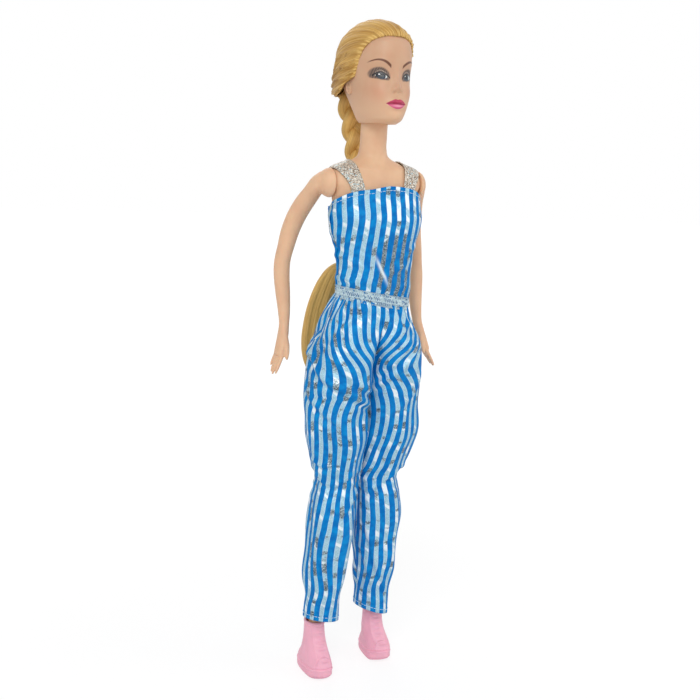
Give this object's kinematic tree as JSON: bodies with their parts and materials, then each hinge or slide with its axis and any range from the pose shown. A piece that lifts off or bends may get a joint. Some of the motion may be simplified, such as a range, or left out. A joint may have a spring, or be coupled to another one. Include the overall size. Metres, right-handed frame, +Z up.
{
  "type": "fashion doll",
  "caption": "Standing fashion doll in a striped foil jumpsuit, with a braid, turning head and limbs, and pull-off shoes.",
  "frame": {"origin": "centre of the doll's box, on the floor under its soles", "axes": "+Z up along the body, -Y the way the doll faces, +X towards its left hand"},
  "size_m": [0.0818, 0.0472, 0.2934],
  "materials": {
    "skin": "satin",
    "hair": "satin",
    "tie_band": "matte",
    "striped_foil_cloth": "satin",
    "silver_elastic": "satin",
    "glitter_ribbon": "satin",
    "closure_tape": "matte",
    "shoe_vinyl": "satin"
  },
  "bodies": {
    "torso": {"torso_front": "skin", "torso_back": "skin", "neck_knob": "skin", "bodice_front": "striped_foil_cloth", "bodice_back_right": "striped_foil_cloth", "bodice_back_left": "striped_foil_cloth", "closure_hook": "closure_tape", "closure_loop": "closure_tape", "strap_right": "glitter_ribbon", "strap_left": "glitter_ribbon", "waist_elastic": "silver_elastic", "trouser_seat": "striped_foil_cloth"},
    "head": {"head": "skin", "hair_cap": "hair"},
    "braid": {"braid": "hair", "hair_tie": "tie_band", "hair_tail": "hair"},
    "arm_right": {"arm_right": "skin"},
    "arm_left": {"arm_left": "skin"},
    "leg_right": {"leg_right": "skin", "trouser_leg_right": "striped_foil_cloth"},
    "leg_left": {"leg_left": "skin", "trouser_leg_left": "striped_foil_cloth"},
    "shoe_right": {"shoe_right": "shoe_vinyl"},
    "shoe_left": {"shoe_left": "shoe_vinyl"}
  },
  "joints": [
    {"name": "neck_turn", "type": "hinge", "parent": "torso", "child": "head", "pos_m": [0, -0.00375, 0.2504], "axis": [0, 0, 1], "range_deg": [-75, 75]},
    {"name": "braid_swing", "type": "hinge", "parent": "head", "child": "braid", "pos_m": [0, -0.00375, 0.2504], "axis": [0, 0, 1], "range_deg": [-64, 64]},
    {"name": "shoulder_right", "type": "hinge", "parent": "torso", "child": "arm_right", "pos_m": [-0.0202, -0.00615, 0.2254], "axis": [-1, 0, 0], "continuous": true},
    {"name": "shoulder_left", "type": "hinge", "parent": "torso", "child": "arm_left", "pos_m": [0.0202, -0.00615, 0.2254], "axis": [-1, 0, 0], "continuous": true},
    {"name": "hip_right", "type": "hinge", "parent": "torso", "child": "leg_right", "pos_m": [-0.0034, -0.00615, 0.152], "axis": [-1, 0, 0], "range_deg": [-15, 90]},
    {"name": "hip_left", "type": "hinge", "parent": "torso", "child": "leg_left", "pos_m": [0.0034, -0.00615, 0.152], "axis": [-1, 0, 0], "range_deg": [-15, 90]},
    {"name": "shoe_pull_right", "type": "slide", "parent": "leg_right", "child": "shoe_right", "axis": [0.0194, -0.3709, -0.9285], "range_m": [0, 0.028]},
    {"name": "shoe_pull_left", "type": "slide", "parent": "leg_left", "child": "shoe_left", "axis": [-0.0194, -0.3709, -0.9285], "range_m": [0, 0.028]}
  ],
  "couplings": [
    {"joint": "braid_swing", "follows": "neck_turn", "ratio": -0.85}
  ]
}
